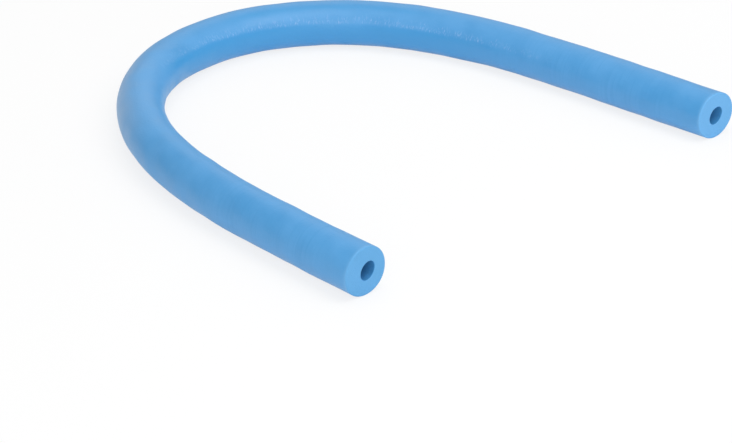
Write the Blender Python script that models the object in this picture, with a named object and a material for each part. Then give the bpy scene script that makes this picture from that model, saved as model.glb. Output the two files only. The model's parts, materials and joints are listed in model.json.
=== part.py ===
"""Pool noodle: a tube of closed-cell foam with a bore through it, lying on the ground bent to a U.

The real noodle is one extruded tube, and bending is the only way it moves. Here the tube is
divided into equal lengths. Each length ends in a ball that sits in a socket of the next one, and
turns in it about an upright axis through a hinge point on the centre line, so the noodle bends
where its lengths meet. Its skin, its oval bore and its two cut ends are those of the whole tube.

Sizes are in metres and +Z is up. The open side of the U faces +X, and the origin is on the ground
below the middle of the noodle's outline. Distances along the noodle start at its near end, the
end of the leg at -Y.
"""

import math

import bmesh
import bpy
import numpy as np
from mathutils import Vector

# Foam tube
noodle_length = 1.600
tube_diameter = 0.063
cut_edge_round = 0.002        # where the skin meets a cut end
far_cut_slant = math.radians(7.4)  # the far end is cut this far out of square, shorter on the inside

# Bore, which is oval
bore_long_diameter = 0.0248
bore_short_diameter = 0.0202
bore_lean_near = math.radians(54)  # the long diameter's lean at the near end, from level to upright
bore_lean_far = math.radians(129)
bore_drift_near = 0.0033      # off centre at the near end, towards the inside; nothing at the far end

# Bend of the centre line
crown_distance = 0.869        # from the near end to the place where the bend is tightest
near_ease_length = 0.891      # the bend fades out over this length before the crown
far_ease_length = 0.617       # and over this length after it
leg_turn = math.radians(175.3)

# Hinges between the lengths
length_count = 16
seam_setback = 0.016          # from a hinge point to the seam round the skin
ball_clearance = 0.0003       # least room between a ball and its socket while they turn

# Facets
side_count = 24
ball_span_count = 5           # bands of facets on a ball between the skin and the bore
edge_span_count = 3           # bands of facets on the rounded edge of a cut end
skin_sag = 0.0004             # most that a facet's middle may stray from the bent centre line
trace_step = 0.001            # spacing of the points from which the centre line is read
smooth_angle = math.radians(20)

# Values that follow from the sizes
tube_radius = tube_diameter / 2
bore_long_radius = bore_long_diameter / 2
bore_short_radius = bore_short_diameter / 2
bore_mean_radius = (bore_long_radius + bore_short_radius) / 2
far_cut_slope = math.tan(far_cut_slant)
pitch = noodle_length / length_count
half_side_angle = math.pi / side_count
axis_height = tube_radius * math.cos(half_side_angle)
ball_radius = math.hypot(tube_radius, seam_setback)
ball_arc = math.asin(tube_radius / ball_radius) - math.asin(bore_short_radius / ball_radius)
facet_depth_share = math.cos(half_side_angle) * math.cos(ball_arc / ball_span_count / 2)
socket_radius = (ball_radius + ball_clearance) / facet_depth_share
root_number = round(crown_distance / pitch)


def turn_at(distance):
    """Angle turned between the crown and a distance along the noodle, negative before the crown.

    The bend per metre is greatest at the crown and fades out on either side as the square of a
    cosine, which integrates to a straight ramp plus a sine.
    """
    from_crown = np.asarray(distance, float) - crown_distance
    ease_length = np.where(from_crown < 0, near_ease_length, far_ease_length)
    share = np.clip(np.abs(from_crown) / ease_length, 0, 1)
    ramp = ease_length * (share / 2 + np.sin(math.pi * share) / (2 * math.pi))
    tightest_bend = leg_turn / ((near_ease_length + far_ease_length) / 2)
    return np.sign(from_crown) * tightest_bend * ramp


def heading_at(distance):
    """Direction of travel along the noodle, as an angle from +X. The noodle bends clockwise."""
    middle_turn = (turn_at(0) + turn_at(noodle_length)) / 2
    return math.pi / 2 + middle_turn - turn_at(distance)


def ahead_at(distance):
    """Unit vector along the noodle."""
    heading = heading_at(distance)
    return np.stack([np.cos(heading), np.sin(heading), np.zeros_like(heading)], axis=-1)


def inward_at(distance):
    """Unit vector across the noodle, level, towards the inside of its bend."""
    heading = heading_at(distance)
    return np.stack([np.sin(heading), -np.cos(heading), np.zeros_like(heading)], axis=-1)


def trace_centre_line():
    """Distances and points along the centre line, centred on the noodle's outline."""
    step_count = round(noodle_length / trace_step)
    distances = np.linspace(0, noodle_length, step_count + 1)
    ahead = ahead_at(distances)
    strides = (ahead[1:] + ahead[:-1]) / 2 * np.diff(distances)[:, None]
    points = np.concatenate([np.zeros((1, 3)), np.cumsum(strides, axis=0)])
    reach = tube_radius * inward_at(distances)
    far_corner = points[-1] - reach[-1] + tube_radius * far_cut_slope * ahead[-1]
    outline = np.concatenate([points + reach, points - reach, far_corner[None]])
    points = points - (outline.min(axis=0) + outline.max(axis=0)) / 2
    points[:, 2] = axis_height
    return distances, points


traced_distances, traced_points = trace_centre_line()


def centre_at(distance):
    """Point on the centre line at a distance along the noodle."""
    return np.array([np.interp(distance, traced_distances, axis) for axis in traced_points.T])


def bore_drift_at(distance):
    """How far the bore lies off centre, towards the inside of the bend."""
    return bore_drift_near * (1 - distance / noodle_length)


def side_angles():
    """Angles round the tube, placed so that a flat facet lies underneath."""
    return (2 * np.arange(side_count) + 1) * half_side_angle


def bore_radii_at(distance):
    """Radius of the oval bore at each of the side angles. The oval turns from end to end."""
    lean = bore_lean_near + (bore_lean_far - bore_lean_near) * distance / noodle_length
    angles = side_angles() - lean
    along_long = np.cos(angles) / bore_long_radius
    along_short = np.sin(angles) / bore_short_radius
    return 1 / np.hypot(along_long, along_short)


def section_ring(distance, radius, drift):
    """A ring square to the centre line. The radius is one value or one for each side."""
    angles = side_angles()
    across = drift + radius * np.cos(angles)
    ring = centre_at(distance) + across[:, None] * inward_at(distance)
    ring[:, 2] += radius * np.sin(angles)
    return ring


def ball_ring(hinge_distance, radius, share):
    """A ring on a ball about a hinge point, which goes from the skin at share 0 to the bore at 1."""
    skin_angle = math.asin(tube_radius / radius)
    mean_bore_angle = math.asin(bore_mean_radius / radius)
    mean_angle = skin_angle + (mean_bore_angle - skin_angle) * share
    ring_distance = hinge_distance + radius * math.cos(mean_angle)
    bore_angles = np.arcsin(bore_radii_at(ring_distance) / radius)
    ring_radius = radius * np.sin(skin_angle + (bore_angles - skin_angle) * share)
    hinge = centre_at(hinge_distance)
    ahead = ahead_at(hinge_distance)
    inward = inward_at(hinge_distance)
    bow = (centre_at(ring_distance) - hinge) @ inward
    drift = bow + bore_drift_at(ring_distance) * share
    angles = side_angles()
    across = drift + ring_radius * np.cos(angles)
    upward = ring_radius * np.sin(angles)
    reach = np.sqrt(radius**2 - across**2 - upward**2)
    ring = hinge + reach[:, None] * ahead + across[:, None] * inward
    ring[:, 2] += upward
    return ring


def ball_rings(hinge_distance, radius):
    """The rings of a ball or a socket, from the skin to the bore."""
    shares = [band / ball_span_count for band in range(ball_span_count + 1)]
    return [ball_ring(hinge_distance, radius, share) for share in shares]


def lean_ring(ring, distance, slope):
    """Move a ring's points along the noodle, back on the inside of the bend and on outside it."""
    across = (ring - centre_at(distance)) @ inward_at(distance)
    return ring - slope * across[:, None] * ahead_at(distance)


def cut_end_rings(distance, foam_side, slope):
    """The rounded edge of a cut end and the edge of its bore, from the skin inwards.

    foam_side is 1 where the foam lies at greater distances and -1 where it lies at smaller ones.
    """
    rings = []
    for span in range(edge_span_count + 1):
        turn = math.pi / 2 * span / edge_span_count
        setback = cut_edge_round * (1 - math.sin(turn))
        radius = tube_radius - cut_edge_round * (1 - math.cos(turn))
        rings.append(section_ring(distance + foam_side * setback, radius, 0))
    rings.append(section_ring(distance, bore_radii_at(distance), bore_drift_at(distance)))
    return [lean_ring(ring, distance, slope) for ring in rings]


def stations_between(start, end):
    """Distances for rings inside a stretch, closer together the more the stretch bends.

    The middle of a chord strays from its arc by an eighth of its length times the angle it spans,
    so one chord over the whole stretch would stray by the square of the number of spans too much.
    """
    stretch = end - start
    bend = abs(float(turn_at(end) - turn_at(start)))
    whole_sag = stretch * bend / 8
    span_count = max(1, math.ceil(math.sqrt(whole_sag / skin_sag)))
    return [start + stretch * span / span_count for span in range(1, span_count)]


def length_rings(number):
    """Every ring of one length in the order of its wall: skin, far face, bore, near face."""
    near_hinge = (number - 1) * pitch
    far_hinge = number * pitch
    skin_start = 0
    bore_start = 0
    skin_end = noodle_length
    bore_end = noodle_length
    if number == 1:
        near_face = cut_end_rings(near_hinge, 1, 0)
    else:
        near_face = ball_rings(near_hinge, socket_radius)
        skin_start = near_hinge + math.sqrt(socket_radius**2 - tube_radius**2)
        bore_start = near_hinge + math.sqrt(socket_radius**2 - bore_mean_radius**2)
    if number == length_count:
        far_face = cut_end_rings(far_hinge, -1, far_cut_slope)
    else:
        far_face = ball_rings(far_hinge, ball_radius)
        skin_end = far_hinge + seam_setback
        bore_end = far_hinge + math.sqrt(ball_radius**2 - bore_mean_radius**2)
    skin = [
        section_ring(station, tube_radius, 0)
        for station in stations_between(skin_start, skin_end)
    ]
    bore = [
        section_ring(station, bore_radii_at(station), bore_drift_at(station))
        for station in stations_between(bore_start, bore_end)
    ]
    return skin + far_face + bore[::-1] + near_face[::-1]


def make_foam_material(name, colour, roughness):
    """Foam with one colour. Foam is never metallic."""
    material = bpy.data.materials.new(name)
    material.use_nodes = True
    shader = material.node_tree.nodes["Principled BSDF"]
    shader.inputs["Base Color"].default_value = (*colour, 1)
    shader.inputs["Roughness"].default_value = roughness
    shader.inputs["Metallic"].default_value = 0
    material.diffuse_color = (*colour, 1)
    return material


def loft_rings(name, rings, origin):
    """A closed wall through the rings in turn, and from the last one back to the first."""
    shell = bmesh.new()
    loops = [[shell.verts.new(Vector(point - origin)) for point in ring] for ring in rings]
    for loop, next_loop in zip(loops, loops[1:] + loops[:1]):
        for side in range(side_count):
            next_side = (side + 1) % side_count
            shell.faces.new((loop[side], next_loop[side], next_loop[next_side], loop[next_side]))
    bmesh.ops.recalc_face_normals(shell, faces=shell.faces)
    mesh = bpy.data.meshes.new(name)
    shell.to_mesh(mesh)
    shell.free()
    mesh.shade_smooth()
    mesh.set_sharp_from_angle(angle=smooth_angle)
    return mesh


def hinge_distance_of(number):
    """Where a length hangs on its neighbour: on the side of the crown, or at its own middle."""
    if number < root_number:
        return number * pitch
    if number > root_number:
        return (number - 1) * pitch
    return (number - 0.5) * pitch


def make_length(number, material, collection):
    """One length of foam, with its origin on the upright axis on which it turns."""
    name = f"foam_length_{number:02d}"
    origin = centre_at(hinge_distance_of(number))
    mesh = loft_rings(name, length_rings(number), origin)
    mesh.materials.append(material)
    length = bpy.data.objects.new(name, mesh)
    collection.objects.link(length)
    return length


def hang_on_crown(lengths):
    """Parent each length to its neighbour on the side of the crown, so that it carries the rest."""
    for number, length in lengths.items():
        origin = Vector(centre_at(hinge_distance_of(number)))
        if number == root_number:
            length.location = origin
            continue
        carrier = number + 1 if number < root_number else number - 1
        length.parent = lengths[carrier]
        length.location = origin - Vector(centre_at(hinge_distance_of(carrier)))


def make_noodle():
    """The whole noodle, in a collection of its own."""
    for leftover in list(bpy.data.objects):
        bpy.data.objects.remove(leftover, do_unlink=True)
    collection = bpy.data.collections.new("pool_noodle")
    bpy.context.scene.collection.children.link(collection)
    foam = make_foam_material("blue_foam", colour=(0.098, 0.347, 0.694), roughness=0.55)
    numbers = range(1, length_count + 1)
    lengths = {number: make_length(number, foam, collection) for number in numbers}
    hang_on_crown(lengths)


make_noodle()
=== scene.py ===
# %% [markdown]
# # A foam pool noodle
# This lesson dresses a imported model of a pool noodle. The model is a frame of sixteen plain
# lengths of tube, joined by hinges. The looks are made here: one smooth skin of foam over the
# whole tube, its two cut ends, its oval bore, and the foam's own surface.

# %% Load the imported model
import json
import math

import bpy
import numpy as np
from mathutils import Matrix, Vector


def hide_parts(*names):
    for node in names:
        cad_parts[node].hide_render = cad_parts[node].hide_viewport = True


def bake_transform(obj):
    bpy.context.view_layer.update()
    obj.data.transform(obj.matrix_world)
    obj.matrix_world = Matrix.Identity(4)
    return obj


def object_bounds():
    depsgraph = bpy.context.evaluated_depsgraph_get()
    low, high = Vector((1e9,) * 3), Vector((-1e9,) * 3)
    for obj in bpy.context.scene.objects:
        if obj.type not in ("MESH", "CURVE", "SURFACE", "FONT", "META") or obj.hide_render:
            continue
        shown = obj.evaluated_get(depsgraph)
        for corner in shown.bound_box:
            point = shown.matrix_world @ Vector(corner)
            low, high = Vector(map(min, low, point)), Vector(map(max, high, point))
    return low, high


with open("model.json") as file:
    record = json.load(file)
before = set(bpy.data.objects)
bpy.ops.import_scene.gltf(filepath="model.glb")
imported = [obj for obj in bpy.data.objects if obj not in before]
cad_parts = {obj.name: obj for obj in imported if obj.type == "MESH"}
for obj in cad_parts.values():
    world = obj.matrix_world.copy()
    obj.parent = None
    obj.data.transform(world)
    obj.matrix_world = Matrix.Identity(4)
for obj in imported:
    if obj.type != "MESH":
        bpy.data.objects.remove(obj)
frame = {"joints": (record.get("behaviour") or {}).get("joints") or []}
cad_low, cad_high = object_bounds()
print("CAD box", [round(value, 4) for value in (*cad_low, *cad_high)])

# %% [markdown]
# ## The camera
# The noodle lies on the ground, and the photograph looks down on it from the open side of the U.
# A fit of a bent tube to the outline gave the viewing angle and a long lens far away, which is how
# a catalogue picture keeps both legs of the U nearly the same thickness. Blender's sensor is 36 mm
# wide, so the lens follows from the fitted focal length as a share of the image's width.

# %% Camera
IMAGE_WIDTH_PX = 732
FOCAL_LENGTH_PX = 2785.5
SENSOR_WIDTH_MM = 36.0
CAMERA_AZIMUTH = math.radians(44.67)
CAMERA_ELEVATION = math.radians(26.33)
CAMERA_DISTANCE = 3.403
CAMERA_TARGET = Vector((0.1908, -0.1790, 0.0006))

camera_back = Vector((
    math.sin(CAMERA_AZIMUTH) * math.cos(CAMERA_ELEVATION),
    -math.cos(CAMERA_AZIMUTH) * math.cos(CAMERA_ELEVATION),
    math.sin(CAMERA_ELEVATION),
))
camera_data = bpy.data.cameras.new("camera")
camera_data.sensor_width = SENSOR_WIDTH_MM
camera_data.lens = FOCAL_LENGTH_PX / IMAGE_WIDTH_PX * SENSOR_WIDTH_MM
camera = bpy.data.objects.new("camera", camera_data)
camera.location = CAMERA_TARGET + CAMERA_DISTANCE * camera_back
camera.rotation_euler = camera_back.to_track_quat("Z", "Y").to_euler()
bpy.context.scene.collection.objects.link(camera)
bpy.context.scene.camera = camera
print("lens", round(camera_data.lens, 1), "mm")

# %% [markdown]
# ## The curve of the centre line
# Foam bends most where it is held and springs back towards its ends, so the bend per metre is
# greatest at the crown of the U and fades out along both legs. The square of a cosine has that
# shape and integrates to a formula, so the direction of the tube is known exactly at any distance
# along it, and only the position is summed up.

# %% Bend of the centre line
NOODLE_LENGTH = 1.600
TUBE_RADIUS = 0.0315
CROWN_DISTANCE = 0.869
NEAR_EASE_LENGTH = 0.891
FAR_EASE_LENGTH = 0.617
LEG_TURN = math.radians(175.3)
TIGHTEST_BEND = LEG_TURN / ((NEAR_EASE_LENGTH + FAR_EASE_LENGTH) / 2)


def crown_share(distance):
    """Distance from the crown, the length over which the bend fades out on that side, and a share.

    The distance is negative before the crown. The share is its size over that length, up to 1.
    """
    from_crown = distance - CROWN_DISTANCE
    ease_length = np.where(from_crown < 0, NEAR_EASE_LENGTH, FAR_EASE_LENGTH)
    return from_crown, ease_length, np.clip(np.abs(from_crown) / ease_length, 0, 1)


def turn_at(distance):
    """Angle turned since the crown, negative before it.

    The bend per metre is the tightest bend times cos squared of a quarter turn of the share. Its
    integral is the tightest bend times the fade-out length times half the share plus a sine.
    """
    from_crown, ease_length, share = crown_share(distance)
    ramp = ease_length * (share / 2 + np.sin(math.pi * share) / (2 * math.pi))
    return np.sign(from_crown) * TIGHTEST_BEND * ramp


MIDDLE_TURN = float(turn_at(0.0) + turn_at(NOODLE_LENGTH)) / 2


def heading_at(distance):
    """Direction of travel from +X: a quarter turn at mid turn, less what was turned since."""
    return math.pi / 2 + MIDDLE_TURN - turn_at(distance)


print("tightest bend radius", round(1 / TIGHTEST_BEND, 3), "m")

# %% [markdown]
# ## The place of the centre line
# Adding up small steps in the direction of travel gives the curve's shape, and its place comes from
# the outline: the model's origin lies below the middle of its box. The far end is cut a little out
# of square, so its outer corner reaches past the end of the centre line and counts in that box.

# %% Points of the centre line
TRACE_STEP = 0.0005
FAR_CUT_SLOPE = math.tan(math.radians(7.4))
AXIS_HEIGHT = (cad_low.z + cad_high.z) / 2

traced_distance = np.linspace(0, NOODLE_LENGTH, round(NOODLE_LENGTH / TRACE_STEP) + 1)
traced_heading = heading_at(traced_distance)
traced_ahead = np.stack([np.cos(traced_heading), np.sin(traced_heading)], axis=1)
traced_inward = np.stack([np.sin(traced_heading), -np.cos(traced_heading)], axis=1)
strides = (traced_ahead[1:] + traced_ahead[:-1]) / 2 * TRACE_STEP
traced_centre = np.concatenate([np.zeros((1, 2)), np.cumsum(strides, axis=0)])
towards_far_corner = FAR_CUT_SLOPE * traced_ahead[-1] - traced_inward[-1]
far_corner = traced_centre[-1] + TUBE_RADIUS * towards_far_corner
outline = np.concatenate([
    traced_centre + TUBE_RADIUS * traced_inward,
    traced_centre - TUBE_RADIUS * traced_inward,
    far_corner[None],
])
traced_centre = traced_centre - (outline.min(axis=0) + outline.max(axis=0)) / 2

joints = {joint["name"]: joint for joint in frame["joints"]}
HINGE_COUNT = len(joints)
PITCH = NOODLE_LENGTH / (HINGE_COUNT + 1)
hinge_numbers = range(1, HINGE_COUNT + 1)
hinge_distances = PITCH * np.array(hinge_numbers)
hinge_points = np.array([joints[f"bend_{number:02d}"]["pos_m"] for number in hinge_numbers])
hinge_misses = [
    np.interp(hinge_distances, traced_distance, traced_centre[:, axis]) - hinge_points[:, axis]
    for axis in (0, 1)
]
MM_A_METRE = 1000
worst_miss = np.abs(hinge_misses).max() * MM_A_METRE
print("centre line passes the model's hinges within", f"{worst_miss:.3f} mm")

# %% [markdown]
# ## Points round the tube
# Every point of the foam is a distance along the noodle, a radius and an angle round it. The last
# stretch leans into the slanted cut: a point's distance grows with how far it lies outside the
# centre line, by the cut's slope, and that lean fades in over a few centimetres.

# %% Points on the bent tube
SLANT_LENGTH = 0.05


def tube_points(distance, outward, angle, drift):
    """Points round the bent tube, and the distance at which each one really lies.

    A point lies at the centre line's place at its distance, moved across by the drift plus the
    cosine of its angle times its radius, and up by the sine times its radius. Past the ends the
    centre line runs straight on.
    """
    across = drift + outward * np.cos(angle)
    upward = outward * np.sin(angle)
    lean_share = np.clip(1 - (NOODLE_LENGTH - distance) / SLANT_LENGTH, 0, 1)
    distance = distance - FAR_CUT_SLOPE * across * lean_share
    within = np.clip(distance, 0, NOODLE_LENGTH)
    heading = heading_at(within)
    past = distance - within
    centre_x = np.interp(within, traced_distance, traced_centre[:, 0]) + past * np.cos(heading)
    centre_y = np.interp(within, traced_distance, traced_centre[:, 1]) + past * np.sin(heading)
    points_x = centre_x + across * np.sin(heading)
    points_y = centre_y - across * np.cos(heading)
    return np.stack([points_x, points_y, AXIS_HEIGHT + upward], axis=-1), distance


# %% [markdown]
# ## The bore
# The bore is left by a pin in the die, and the warm foam sags round it, so it comes out oval and
# a little off centre. The oval also turns slowly from one end of the noodle to the other. Its
# radius at any angle follows from the two half diameters.

# %% Oval bore
BORE_LONG_RADIUS = 0.0124
BORE_SHORT_RADIUS = 0.0101
BORE_LEAN_NEAR = math.radians(54)
BORE_LEAN_FAR = math.radians(129)
BORE_DRIFT_NEAR = 0.0033


def bore_radius_at(distance, angle):
    """Radius of an oval at an angle.

    It is one over the hypotenuse of two sides: the cosine of the angle from the long axis over the
    long radius, and its sine over the short radius.
    """
    lean = BORE_LEAN_NEAR + (BORE_LEAN_FAR - BORE_LEAN_NEAR) * distance / NOODLE_LENGTH
    along_long = np.cos(angle - lean) / BORE_LONG_RADIUS
    along_short = np.sin(angle - lean) / BORE_SHORT_RADIUS
    return 1 / np.hypot(along_long, along_short)


def bore_drift_at(distance):
    """How far the bore lies off centre: the near end's drift, fading to nothing at the far end."""
    return BORE_DRIFT_NEAR * (1 - distance / NOODLE_LENGTH)


# %% [markdown]
# ## The foam's shape
# A noodle comes out of a die as one tube and is cut to length with a blade. It could be a curve
# with a bevel, but then its bore, its softened cut edges and its faint dents would have to be cut
# in afterwards. Here the wall is a closed profile carried along the centre line instead: out along
# the skin, over the cut edge, across the end face, and back along the bore.
#
# Each ring of that profile has a distance, a share that is 1 on the skin and 0 on the bore, and
# two insets, by which the rounded edges draw in the skin or widen the bore.
#
# The tube bends at fifteen hinges, so it is made as fifteen pieces that meet halfway between the
# hinges. Each one reaches across its own hinge.

# %% Profile of one stretch of wall
RING_STEP = 0.002
BORE_RING_STEP = 0.004
SIDE_COUNT = 96
EDGE_ROUND = 0.0020
BORE_EDGE_ROUND = 0.0008
EDGE_RING_COUNT = 6
FACE_RING_COUNT = 8
ROUNDING_ROOM = 1e-9


def spaced(start, end, step):
    """Evenly spaced values from start to end, both kept, no further apart than the step."""
    gaps = math.ceil(abs(end - start) / step - ROUNDING_ROOM)
    return np.linspace(start, end, max(1, gaps) + 1)


def profile_rows(distance, share, skin_inset=0.0, bore_inset=0.0):
    """The four rows of a stretch of profile, each as long as the longest of them."""
    return np.stack(np.broadcast_arrays(distance, share, skin_inset, bore_inset)).astype(float)


def cut_end(distance, inwards):
    """A cut end from skin to bore: a quarter round, the flat face, and a smaller quarter round.

    inwards is 1 where the foam lies at greater distances and -1 where it lies at smaller ones.
    """
    quarter = np.linspace(0, math.pi / 2, EDGE_RING_COUNT + 1)
    skin_edge = profile_rows(
        distance + inwards * EDGE_ROUND * (1 - np.sin(quarter)),
        1.0, EDGE_ROUND * (1 - np.cos(quarter)),
    )
    face_share = np.linspace(1, 0, FACE_RING_COUNT + 1)[1:-1]
    face = profile_rows(distance, face_share, EDGE_ROUND, BORE_EDGE_ROUND)
    bore_edge = profile_rows(
        distance + inwards * BORE_EDGE_ROUND * (1 - np.cos(quarter)),
        0.0, 0.0, BORE_EDGE_ROUND * (1 - np.sin(quarter)),
    )
    return np.concatenate([skin_edge, face, bore_edge], axis=1)


def wall_profile(start, end):
    """The rings round the wall of one stretch, closed: skin, far end, bore, near end."""
    near_cut = start <= 0
    far_cut = end >= NOODLE_LENGTH
    skin_start = start + EDGE_ROUND * near_cut
    skin_end = end - EDGE_ROUND * far_cut
    bore_start = start + BORE_EDGE_ROUND * near_cut
    bore_end = end - BORE_EDGE_ROUND * far_cut
    parts = [profile_rows(spaced(skin_start, skin_end, RING_STEP), 1.0)]
    if far_cut:
        parts.append(cut_end(end, -1)[:, 1:-1])
    parts.append(profile_rows(spaced(bore_end, bore_start, BORE_RING_STEP), 0.0))
    if near_cut:
        parts.append(cut_end(start, 1)[:, ::-1][:, 1:-1])
    return np.concatenate(parts, axis=1)


print("a middle piece has", wall_profile(1.5 * PITCH, 2.5 * PITCH).shape[1], "rings")

# %% [markdown]
# ## Faint dents
# Soft foam is never quite round: it takes shallow dents in handling. The dents are a sum of a few
# waves along and round the tube. Whole waves round the tube make the surface meet itself, and the
# waves go on unbroken from one piece to the next because they depend only on the distance.

# %% Relief of the skin
DENT_DEPTH = 0.00022
DENT_WAVES = (
    # waves a metre along the noodle, whole waves round it, start, share of the depth
    (3.1, 2, 0.4, 0.9),
    (5.3, 1, 2.1, 0.7),
    (7.7, 3, 4.0, 0.6),
    (12.1, 2, 1.2, 0.5),
    (17.9, 5, 5.1, 0.35),
    (23.3, 3, 2.9, 0.3),
)


def dent_depth(distance, angle):
    """Sum of the waves: each is a share of the depth times the sine of its two phases."""
    depth = np.zeros(np.broadcast(distance, angle).shape)
    for waves_along, waves_round, start, share in DENT_WAVES:
        depth += share * np.sin(2 * math.pi * waves_along * distance + waves_round * angle + start)
    return DENT_DEPTH * depth


# %% [markdown]
# ## Marks and painted light on the skin
# The bend and the blade leave marks that depend on the place along the noodle and round it, and
# light and shade are painted there as well. At the crown a whitish painted sheen lies over the
# foam, most of all on its outermost line, and the crown is paler as a painted highlight. Along the
# far leg a pale painted highlight runs down to an edge on the inside of the bend, over fine creases
# whose paler colour is painted glints, and on either side of that band the skin is deeper in
# colour as painted shade. Faint rings lie across both legs, and at the ends the paler colour of the
# cut runs a few millimetres over the rounded edge.
#
# Each mark is a share between 0 and 1, worked out here for each point, and the material colours
# it. Painted marks could do the same, but steps of an angle and a distance need no picture.

# %% Where the marks lie
EDGE_ANGLE = math.radians(19)
EDGE_RISE = math.radians(33)
EDGE_RISE_START = 0.62
EDGE_RISE_LENGTH = 0.11
EDGE_SOFTNESS = math.radians(5)

# angles between which a mark changes: two from the band's edge, then two from the innermost line
PALE_FADE = np.radians((16, 48))
BELOW_FADE = np.radians((-110, -60))
TOP_FADE = np.radians((62, 84))
OUTERMOST_FADE = np.radians((86, 138))
CREASE_WIDTH = math.radians(15)

# metres along the noodle where a mark starts, is full, starts to fade and ends
CROWN_SPAN = (0.38, 0.53, 0.61, 0.70)
SHEEN_SPAN = (0.40, 0.53, 0.58, 0.80)
PALE_SPAN = (0.50, 0.62, 1.10, 1.45)
# spans of the painted shade below and above the far leg's band
SHADE_BELOW_SPAN = (0.61, 0.71, 1.08, 1.40)
SHADE_ABOVE_SPAN = (0.78, 0.88, 1.05, 1.20)
CREASE_AND_GLINT_SPAN = (0.58, 0.76, 1.16, 1.44)
NEAR_RINGS_SPAN = (0.02, 0.08, 0.15, 0.35)
FAR_RINGS_SPAN = (1.20, 1.35, 1.50, 1.58)
PALE_BESIDE_CROWN = 0.6

# metres from a cut between which the cut's own colour fades out
CUT_MARK_FADE = (0.001, 0.006)


def smooth_step(value, start, end):
    """0 before start, 1 after end, and between them three squares less two cubes of the share."""
    share = np.clip((value - start) / (end - start), 0, 1)
    return share * share * (3 - 2 * share)


def along_span(distance, span):
    """1 in the middle of a span and 0 outside it, with a smooth step at each end."""
    start, full, fading, end = span
    return smooth_step(distance, start, full) * (1 - smooth_step(distance, fading, end))


def skin_marks(distance, angle):
    """Shares of the marks at a distance along the noodle and an angle round it.

    The angle above the edge is the angle round the tube less the edge's own angle, which falls off
    from the crown as an exponential of the distance. The marks are steps of that angle, or of the
    angle from the innermost line, times steps along the noodle.
    """
    past_crown = np.maximum(distance - EDGE_RISE_START, 0)
    edge = EDGE_ANGLE + EDGE_RISE * np.exp(-past_crown / EDGE_RISE_LENGTH)
    above = (angle - edge + math.pi) % (2 * math.pi) - math.pi
    from_inside = np.abs((angle + math.pi) % (2 * math.pi) - math.pi)
    from_cut = np.minimum(distance, NOODLE_LENGTH - distance)

    upper = smooth_step(above, -EDGE_SOFTNESS, EDGE_SOFTNESS)
    past_band = smooth_step(above, *PALE_FADE)
    band = upper * (1 - past_band)
    below = (1 - upper) * smooth_step(above, *BELOW_FADE)
    beside_top = past_band * (1 - smooth_step(from_inside, *TOP_FADE))
    crown = along_span(distance, CROWN_SPAN)
    creases_and_glints = upper * np.exp(-(above / CREASE_WIDTH) ** 2)
    return {
        # deeper colour on either side of the far leg's band: painted shade
        "painted_shade": (
            below * along_span(distance, SHADE_BELOW_SPAN)
            + beside_top * along_span(distance, SHADE_ABOVE_SPAN)
        ),
        # the pale band along the far leg and the paler crown: painted highlight
        "painted_highlight": np.maximum(PALE_BESIDE_CROWN * band * along_span(distance, PALE_SPAN), crown),
        # whitish painted sheen along the crown's outermost line
        "painted_sheen": smooth_step(from_inside, *OUTERMOST_FADE) * along_span(distance, SHEEN_SPAN),
        "cut_edge": 1 - smooth_step(from_cut, *CUT_MARK_FADE),
        # real creases, whose paler colour is painted glints
        "creased_with_glints": creases_and_glints * along_span(distance, CREASE_AND_GLINT_SPAN),
        "ringed": along_span(distance, NEAR_RINGS_SPAN) + along_span(distance, FAR_RINGS_SPAN),
    }


MIDDLE_OF_BAND = 0.95
sample_marks = skin_marks(np.array(MIDDLE_OF_BAND), np.array(EDGE_ANGLE + EDGE_SOFTNESS))
sample_shares = {mark: round(float(share), 2) for mark, share in sample_marks.items()}
print("marks just above the edge", sample_shares)

# %% [markdown]
# ## From the profile to a mesh
# The profile's rings and the angles round the tube are two axes of a grid, so one call gives every
# point of a piece. The grid closes both ways, which leaves no open edge. Where a piece ends at the
# next one, its wall turns a right angle from the skin into a hidden face. Those edges are marked
# sharp, which keeps the skin's shading even up to the seam.

# %% Build a stretch of foam
SHARP_ANGLE = math.radians(35)


def grid_faces(ring_count, side_count):
    """Corners of the quads between neighbouring rings, round a wall that closes both ways."""
    ring = np.arange(ring_count)[:, None]
    side = np.arange(side_count)[None, :]
    next_ring = (ring + 1) % ring_count
    next_side = (side + 1) % side_count
    corners = [
        ring * side_count + side,
        next_ring * side_count + side,
        next_ring * side_count + next_side,
        ring * side_count + next_side,
    ]
    grid = (ring_count, side_count)
    return np.stack([np.broadcast_to(corner, grid) for corner in corners], axis=-1)


def set_attribute(mesh, name, kind, key, values):
    """Store one value for each vertex, which a material can read by its name."""
    attribute = mesh.attributes.new(name, kind, "POINT")
    attribute.data.foreach_set(key, np.ascontiguousarray(values, np.float32).ravel())


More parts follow.
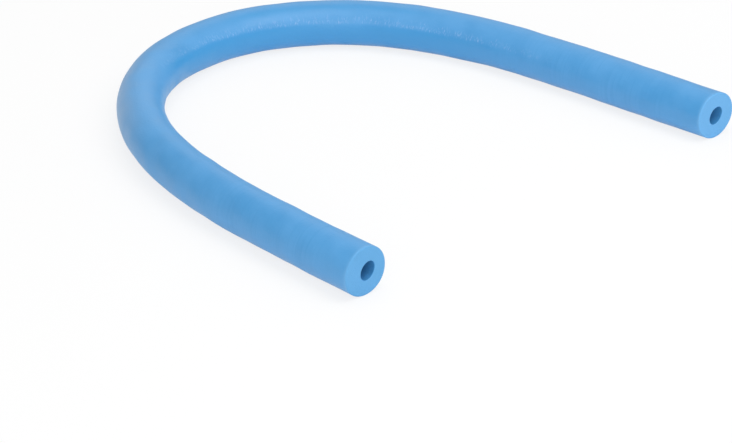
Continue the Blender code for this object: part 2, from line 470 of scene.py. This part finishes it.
def foam_stretch(name, start, end):
    """One piece of the noodle between two distances: a closed mesh that stores place and marks."""
    distance, share, skin_inset, bore_inset = wall_profile(start, end)[:, :, None]
    angle = (2 * math.pi * (np.arange(SIDE_COUNT) + 0.5) / SIDE_COUNT)[None, :]
    skin_radius = TUBE_RADIUS - skin_inset + dent_depth(distance, angle)
    bore_radius = bore_radius_at(distance, angle) + bore_inset
    outward = share * skin_radius + (1 - share) * bore_radius
    drift = bore_drift_at(distance) * (1 - share)
    points, place_along = tube_points(distance, outward, angle, drift)
    points[..., 2] = np.maximum(points[..., 2], cad_low.z)  # the foam rests on the ground
    faces = grid_faces(len(distance), SIDE_COUNT).reshape(-1, 4)

    mesh = bpy.data.meshes.new(name)
    mesh.vertices.add(points.shape[0] * SIDE_COUNT)
    mesh.vertices.foreach_set("co", points.astype(np.float32).ravel())
    mesh.loops.add(faces.size)
    mesh.loops.foreach_set("vertex_index", faces.astype(np.int32).ravel())
    mesh.polygons.add(len(faces))
    mesh.polygons.foreach_set("loop_start", np.arange(0, faces.size, 4, dtype=np.int32))
    mesh.update(calc_edges=True)

    across, upward = drift + outward * np.cos(angle), outward * np.sin(angle)
    place = np.stack([place_along, across, upward], axis=-1)
    set_attribute(mesh, "noodle_place", "FLOAT_VECTOR", "vector", place)
    for mark, strength in skin_marks(distance, angle).items():
        on_every_point = np.broadcast_to(strength * share, points.shape[:2])
        set_attribute(mesh, mark, "FLOAT", "value", on_every_point)
    mesh.set_sharp_from_angle(angle=SHARP_ANGLE)
    piece = bpy.data.objects.new(name, mesh)
    bpy.context.scene.collection.objects.link(piece)
    return piece


def stretch_of(number):
    """Start and end of the piece that bends across a hinge, the end pieces reaching to the cuts."""
    start = 0.0 if number == 1 else (number - 0.5) * PITCH
    end = NOODLE_LENGTH if number == HINGE_COUNT else (number + 0.5) * PITCH
    return start, end


pieces = {
    number: foam_stretch(f"foam_skin_{number:02d}", *stretch_of(number))
    for number in hinge_numbers
}
quad_total = sum(len(piece.data.polygons) for piece in pieces.values())
print(len(pieces), "pieces of foam,", quad_total, "quads")

# %% [markdown]
# ## The foam's surface
# Closed-cell foam scatters light inside its thin-walled cells, so it looks soft and even, with a
# dull satin sheen where the die has melted the skin smooth. Up close the skin has the faint
# pebbling of the cells below it. A group holds that pebbling, so the skin and the cut faces can
# share it at different strengths. Its patterns read the place on the straight noodle, which is
# stored on the mesh, so they bend with the foam instead of sliding over it.

# %% Foam cell group
CELL_SMOOTHNESS = 0.6
PATCHES_A_METRE = 28
PATCH_DETAIL = 4
PATCH_TONES = (0.35, 0.65)


def add_node(tree, kind, **settings):
    """Add a node and set its properties by name."""
    node = tree.nodes.new(kind)
    for key, value in settings.items():
        setattr(node, key, value)
    return node


def set_inputs(node, **values):
    """Set a node's inputs by name, with underscores for spaces."""
    for key, value in values.items():
        node.inputs[key.replace("_", " ")].default_value = value


def make_cell_group():
    """Foam cells: a tone from 0 to 1 in soft patches, and a height that domes over each cell."""
    group = bpy.data.node_groups.new("foam_cells", "ShaderNodeTree")
    group.interface.new_socket("Place", in_out="INPUT", socket_type="NodeSocketVector")
    group.interface.new_socket("Cells a metre", in_out="INPUT", socket_type="NodeSocketFloat")
    group.interface.new_socket("Tone", in_out="OUTPUT", socket_type="NodeSocketFloat")
    group.interface.new_socket("Height", in_out="OUTPUT", socket_type="NodeSocketFloat")
    source = add_node(group, "NodeGroupInput")
    result = add_node(group, "NodeGroupOutput")
    cells = add_node(group, "ShaderNodeTexVoronoi", feature="SMOOTH_F1")
    set_inputs(cells, Smoothness=CELL_SMOOTHNESS)
    patches = add_node(group, "ShaderNodeTexNoise")
    set_inputs(patches, Scale=PATCHES_A_METRE, Detail=PATCH_DETAIL)
    tone = add_node(group, "ShaderNodeMapRange")
    set_inputs(tone, From_Min=PATCH_TONES[0], From_Max=PATCH_TONES[1])
    dome = add_node(group, "ShaderNodeMath", operation="SUBTRACT")
    dome.inputs[0].default_value = 1
    links = group.links
    links.new(source.outputs["Place"], cells.inputs["Vector"])
    links.new(source.outputs["Cells a metre"], cells.inputs["Scale"])
    links.new(source.outputs["Place"], patches.inputs["Vector"])
    links.new(cells.outputs["Distance"], dome.inputs[1])
    links.new(dome.outputs[0], result.inputs["Height"])
    links.new(patches.outputs["Fac"], tone.inputs["Value"])
    links.new(tone.outputs["Result"], result.inputs["Tone"])
    return group


cell_group = make_cell_group()
group_sockets = [socket.name for socket in cell_group.interface.items_tree]
print("group", cell_group.name, "has the sockets", group_sockets)

# %% [markdown]
# ## Four finishes of one foam
# The skin was melted smooth by the die, so it is deeper in colour and has more sheen. A blade opens
# the cells of a cut end, and the open cells scatter the light, so the same foam looks duller there,
# and its paler colour there is partly the open cells and partly painted light. The far cut is paler
# still than the near one, and that difference is painted light. The bore's wall is darker than the
# skin as painted shade. All the materials start from one function and differ in their values.

# %% Foam material
def mix_colours(tree, low_colour, high_colour, factor):
    """A mix of two colours, which are plain values or sockets, by a factor from another node."""
    mix = add_node(tree, "ShaderNodeMix", data_type="RGBA")
    colour_inputs = [socket for socket in mix.inputs if socket.type == "RGBA"]
    for socket, colour in zip(colour_inputs, (low_colour, high_colour)):
        if isinstance(colour, tuple):
            socket.default_value = (*colour, 1)
        else:
            tree.links.new(colour, socket)
    tree.links.new(factor, mix.inputs["Factor"])
    return next(socket for socket in mix.outputs if socket.type == "RGBA")


def make_foam(name, colours, roughness, cells_a_metre, pebble_depth, sheen):
    """Foam whose colour and roughness wander between two values each, pebbled by its cells."""
    material = bpy.data.materials.new(name)
    material.use_nodes = True
    tree = material.node_tree
    shader = tree.nodes["Principled BSDF"]
    place = add_node(tree, "ShaderNodeAttribute", name="place", attribute_name="noodle_place")
    cells = add_node(tree, "ShaderNodeGroup", node_tree=cell_group)
    set_inputs(cells, Cells_a_metre=cells_a_metre)
    tree.links.new(place.outputs["Vector"], cells.inputs["Place"])

    colour = mix_colours(tree, *colours, cells.outputs["Tone"])
    tree.links.new(colour, shader.inputs["Base Color"])
    dullness = add_node(tree, "ShaderNodeMapRange")
    set_inputs(dullness, To_Min=roughness[0], To_Max=roughness[1])
    tree.links.new(cells.outputs["Tone"], dullness.inputs["Value"])
    tree.links.new(dullness.outputs["Result"], shader.inputs["Roughness"])

    pebbles = add_node(tree, "ShaderNodeBump", name="pebbles")
    set_inputs(pebbles, Distance=pebble_depth)
    tree.links.new(cells.outputs["Height"], pebbles.inputs["Height"])
    tree.links.new(pebbles.outputs["Normal"], shader.inputs["Normal"])
    shader.inputs["Specular IOR Level"].default_value = sheen
    return material


foam_skin = make_foam(
    "foam_skin",
    colours=((0.062, 0.320, 0.666), (0.084, 0.352, 0.708)),
    roughness=(0.38, 0.52),
    cells_a_metre=420,
    pebble_depth=0.00018,
    sheen=0.65,
)
# paler than the skin, partly from its open cells and partly painted light
near_cut_foam = make_foam(
    "near_cut_foam",
    colours=((0.116, 0.385, 0.715), (0.132, 0.403, 0.742)),
    roughness=(0.70, 0.85),
    cells_a_metre=900,
    pebble_depth=0.00035,
    sheen=0.40,
)
# paler than the near cut by painted light
far_cut_foam_painted_lighter = make_foam(
    "far_cut_foam_painted_lighter",
    colours=((0.150, 0.446, 0.820), (0.166, 0.464, 0.845)),
    roughness=(0.70, 0.85),
    cells_a_metre=900,
    pebble_depth=0.00035,
    sheen=0.40,
)
# the bore's wall painted darker than the skin: painted shade
bore_painted_darker = make_foam(
    "bore_painted_darker",
    colours=((0.058, 0.272, 0.560), (0.070, 0.296, 0.600)),
    roughness=(0.50, 0.60),
    cells_a_metre=420,
    pebble_depth=0.00018,
    sheen=0.20,
)
finishes = (foam_skin, near_cut_foam, far_cut_foam_painted_lighter, bore_painted_darker)
print("materials", [material.name for material in finishes])

# %% [markdown]
# ## The marks in the skin
# The marks are laid over the plain colour one after another, each by its own share. A crease is
# short across the tube and narrow along it, and a ring runs far round it, so both patterns are
# noise squeezed along the noodle, of which only the peaks are kept. A coarser noise gathers the
# creases in clusters. Creases are raised a little, and their paler colour is painted glints;
# rings are a little deeper in colour.

# %% Marks, creases and rings
MARKS = {
    # mark: its colour, and how strongly it covers the plain one
    # painted shade
    "painted_shade": ((0.043, 0.318, 0.675), 0.90),
    # painted highlight
    "painted_highlight": ((0.114, 0.388, 0.755), 0.36),
    # painted sheen
    "painted_sheen": ((0.320, 0.480, 0.690), 0.40),
    "cut_edge": ((0.130, 0.410, 0.760), 0.75),
}

# a squeeze is features a metre along the noodle, across it and up, and peaks are the values of the
# noise at which a stroke starts and is full
# the creases' paler colour: painted glints
CREASE_GLINT_COLOUR = (0.360, 0.580, 0.910)
CREASE_SQUEEZE = (520, 190, 190)
CREASE_TILT = (0.3, 0.0, 0.35)
CREASE_PEAKS = (0.52, 0.70)
CREASE_DETAIL = 3
CREASE_ROUGHNESS = 0.6
CREASE_HEIGHT = 0.0003
CLUSTER_SQUEEZE = (70, 70, 70)
CLUSTER_PEAKS = (0.36, 0.62)
CLUSTER_DETAIL = 2
LEAST_CLUSTER = 0.25
RING_BLUE = (0.052, 0.300, 0.640)
RING_SQUEEZE = (260, 14, 14)
RING_PEAKS = (0.50, 0.68)
RING_DETAIL = 1
RING_COVER = 0.40


def stored_share(tree, mark):
    """The share of a mark that is stored on the mesh."""
    return add_node(tree, "ShaderNodeAttribute", attribute_name=mark).outputs["Fac"]


def multiply(tree, socket, factor):
    """A socket times a number or another socket."""
    product = add_node(tree, "ShaderNodeMath", operation="MULTIPLY")
    tree.links.new(socket, product.inputs[0])
    if isinstance(factor, float):
        product.inputs[1].default_value = factor
    else:
        tree.links.new(factor, product.inputs[1])
    return product.outputs[0]


def noise_peaks(tree, squeeze, peaks, detail, tilt=(0, 0, 0), roughness=0.5, floor=0.0):
    """Noise on the place times a squeeze, taken from floor to 1 over the range of its peaks."""
    squeezed = add_node(tree, "ShaderNodeMapping")
    squeezed.inputs["Scale"].default_value = squeeze
    squeezed.inputs["Rotation"].default_value = tilt
    noise = add_node(tree, "ShaderNodeTexNoise")
    set_inputs(noise, Scale=1, Detail=detail, Roughness=roughness)
    kept = add_node(tree, "ShaderNodeMapRange")
    set_inputs(kept, From_Min=peaks[0], From_Max=peaks[1], To_Min=floor)
    tree.links.new(tree.nodes["place"].outputs["Vector"], squeezed.inputs["Vector"])
    tree.links.new(squeezed.outputs["Vector"], noise.inputs["Vector"])
    tree.links.new(noise.outputs["Fac"], kept.inputs["Value"])
    return kept.outputs["Result"]


def mark_skin(material):
    """Lay the marks, the creases and the rings over the skin's colour, and raise the creases."""
    tree = material.node_tree
    shader = tree.nodes["Principled BSDF"]
    colour = shader.inputs["Base Color"].links[0].from_socket
    for mark, (mark_colour, strength) in MARKS.items():
        cover = multiply(tree, stored_share(tree, mark), strength)
        colour = mix_colours(tree, colour, mark_colour, cover)

    strokes = noise_peaks(
        tree, CREASE_SQUEEZE, CREASE_PEAKS, CREASE_DETAIL, CREASE_TILT, CREASE_ROUGHNESS
    )
    clusters = noise_peaks(
        tree, CLUSTER_SQUEEZE, CLUSTER_PEAKS, CLUSTER_DETAIL, floor=LEAST_CLUSTER
    )
    creases_and_glints = multiply(tree, strokes, multiply(tree, clusters, stored_share(tree, "creased_with_glints")))
    # painted glints along the creases
    colour = mix_colours(tree, colour, CREASE_GLINT_COLOUR, creases_and_glints)

    ring_peaks = noise_peaks(tree, RING_SQUEEZE, RING_PEAKS, RING_DETAIL)
    ring_strokes = multiply(tree, ring_peaks, RING_COVER)
    rings = multiply(tree, ring_strokes, stored_share(tree, "ringed"))
    colour = mix_colours(tree, colour, RING_BLUE, rings)
    tree.links.new(colour, shader.inputs["Base Color"])

    ridges = add_node(tree, "ShaderNodeBump")
    set_inputs(ridges, Distance=CREASE_HEIGHT)
    tree.links.new(creases_and_glints, ridges.inputs["Height"])
    tree.links.new(ridges.outputs["Normal"], tree.nodes["pebbles"].inputs["Normal"])


mark_skin(foam_skin)
print("skin has", len(foam_skin.node_tree.nodes), "nodes")

# %% [markdown]
# ## Skin, cut and bore
# A face's material follows from the two rings that it lies between. Where both are on the skin it
# is skin, where both are on the bore it is bore, and the rest belongs to a cut. On a cut's rounded
# edge the skin ends where the rounding has drawn it in by a quarter, and the bore where its own
# rounding has widened it by half. One index for each row of the grid is repeated round the tube.

# %% Lay the materials on the pieces
SKIN, CUT, BORE = range(3)
SKIN_ON_EDGE = 0.25
BORE_ON_EDGE = 0.5

for number, piece in pieces.items():
    mesh = piece.data
    cut_foam = near_cut_foam if number == 1 else far_cut_foam_painted_lighter
    for material in (foam_skin, cut_foam, bore_painted_darker):
        mesh.materials.append(material)
    _, share, skin_inset, bore_inset = wall_profile(*stretch_of(number))
    on_skin = (share == 1) & (skin_inset < EDGE_ROUND * SKIN_ON_EDGE)
    on_bore = (share == 0) & (bore_inset < BORE_EDGE_ROUND * BORE_ON_EDGE)
    row_material = np.full(len(share), CUT, np.int32)
    row_material[on_skin & np.roll(on_skin, -1)] = SKIN
    row_material[on_bore & np.roll(on_bore, -1)] = BORE
    mesh.polygons.foreach_set("material_index", np.repeat(row_material, SIDE_COUNT))
    mesh.update()
print("rows of the last piece by material", np.bincount(row_material))

# %% [markdown]
# ## The model's lengths
# Each piece stands in for the model's length at its own hinge, and the last one also for the
# length past it, so those lengths are hidden. First each piece's place is laid into its mesh.

# %% Hide the lengths that the pieces stand in for
for number, piece in pieces.items():
    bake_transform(piece)
    replaced = [f"foam_length_{number:02d}"]
    if number == HINGE_COUNT:
        replaced.append(f"foam_length_{number + 1:02d}")
    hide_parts(*replaced)
print("bent across", len(pieces), "hinges")

# %% [markdown]
# ## The floor
# The photograph is a cut-out on white, with no shadow. A floor has to keep a shadow, so that the
# noodle lies on something, but it can be a faint one. The floor is plain, pale and matt to the
# light that falls on it.

# %% Floor
FLOOR_SIZE = 24.0
FLOOR_COLOUR = (0.95, 0.95, 0.95)
FLOOR_ROUGHNESS = 0.9
bpy.ops.mesh.primitive_plane_add(size=FLOOR_SIZE, location=(0, 0, cad_low.z))
floor = bpy.context.object
floor.name = "floor"
floor_material = bpy.data.materials.new("floor")
floor_material.use_nodes = True
floor_tree = floor_material.node_tree
floor_shader = floor_tree.nodes["Principled BSDF"]
set_inputs(
    floor_shader,
    Base_Color=(*FLOOR_COLOUR, 1),
    Roughness=FLOOR_ROUGHNESS,
    Specular_IOR_Level=0.0,
)
floor.data.materials.append(floor_material)
print("floor", FLOOR_SIZE, "m wide")

# %% [markdown]
# ## White to the camera
# A brighter floor would send more light up onto the foam. The light path node tells what kind of
# ray meets the floor: to the camera, and in reflections and through clear things, the floor is
# mixed with plain white, which thins the shadow and lights nothing.

# %% White mixed into the floor
FLOOR_WHITE_SHARE = 0.80
white = add_node(floor_tree, "ShaderNodeEmission")
rays = add_node(floor_tree, "ShaderNodeLightPath")
seen_by_camera_or_gloss = add_node(floor_tree, "ShaderNodeMath", operation="MAXIMUM")
seen_at_all = add_node(floor_tree, "ShaderNodeMath", operation="MAXIMUM")
white_share = add_node(floor_tree, "ShaderNodeMath", operation="MULTIPLY")
white_share.inputs[1].default_value = FLOOR_WHITE_SHARE
floor_mix = add_node(floor_tree, "ShaderNodeMixShader")
floor_tree.links.new(rays.outputs["Is Camera Ray"], seen_by_camera_or_gloss.inputs[0])
floor_tree.links.new(rays.outputs["Is Glossy Ray"], seen_by_camera_or_gloss.inputs[1])
floor_tree.links.new(seen_by_camera_or_gloss.outputs[0], seen_at_all.inputs[0])
floor_tree.links.new(rays.outputs["Is Transmission Ray"], seen_at_all.inputs[1])
floor_tree.links.new(seen_at_all.outputs[0], white_share.inputs[0])
floor_tree.links.new(white_share.outputs[0], floor_mix.inputs["Fac"])
floor_tree.links.new(floor_shader.outputs[0], floor_mix.inputs[1])
floor_tree.links.new(white.outputs[0], floor_mix.inputs[2])
floor_tree.links.new(floor_mix.outputs[0], floor_tree.nodes["Material Output"].inputs["Surface"])
print("white in the floor, as the camera sees it", FLOOR_WHITE_SHARE)

# %% [markdown]
# ## The light
# The photograph's light is soft and comes from all round: both legs are nearly as bright on their
# sides as on top. A white sky gives much of that. Broad panels give the rest: one overhead for the
# tops, one low beside the camera that shines on the cut ends, one high to its right, and a weak one
# behind for the far outlines. Their powers were fitted to the brightness across the tube, and
# together they light a colour about as it is written.

# %% Light
SKY_STRENGTH = 0.50
PANEL_SIZE = 2.0
PANEL_DISTANCE = 3.2
PANELS = (
    # name, power in watts, turn from the camera to the right and height, both in degrees
    ("top_panel", 24.5, 0, 90),
    ("front_panel", 25.0, 0, 20),
    ("side_panel", 29.5, 60, 55),
    ("back_panel", 8.0, 180, 32),
)

world = bpy.data.worlds.new("studio")
world.use_nodes = True
sky = world.node_tree.nodes["Background"]
sky.inputs["Color"].default_value = (1, 1, 1, 1)
sky.inputs["Strength"].default_value = SKY_STRENGTH
bpy.context.scene.world = world

for panel_name, power, turn, height in PANELS:
    azimuth = CAMERA_AZIMUTH + math.radians(turn)
    elevation = math.radians(height)
    towards_panel = Vector((
        math.sin(azimuth) * math.cos(elevation),
        -math.cos(azimuth) * math.cos(elevation),
        math.sin(elevation),
    ))
    panel_data = bpy.data.lights.new(panel_name, "AREA")
    panel_data.shape = "SQUARE"
    panel_data.size = PANEL_SIZE
    panel_data.energy = power
    panel = bpy.data.objects.new(panel_name, panel_data)
    panel.location = PANEL_DISTANCE * towards_panel
    panel.rotation_euler = towards_panel.to_track_quat("Z", "Y").to_euler()
    bpy.context.scene.collection.objects.link(panel)
bpy.context.scene.view_settings.view_transform = "Standard"
print("lights", [light.name for light in bpy.data.lights])
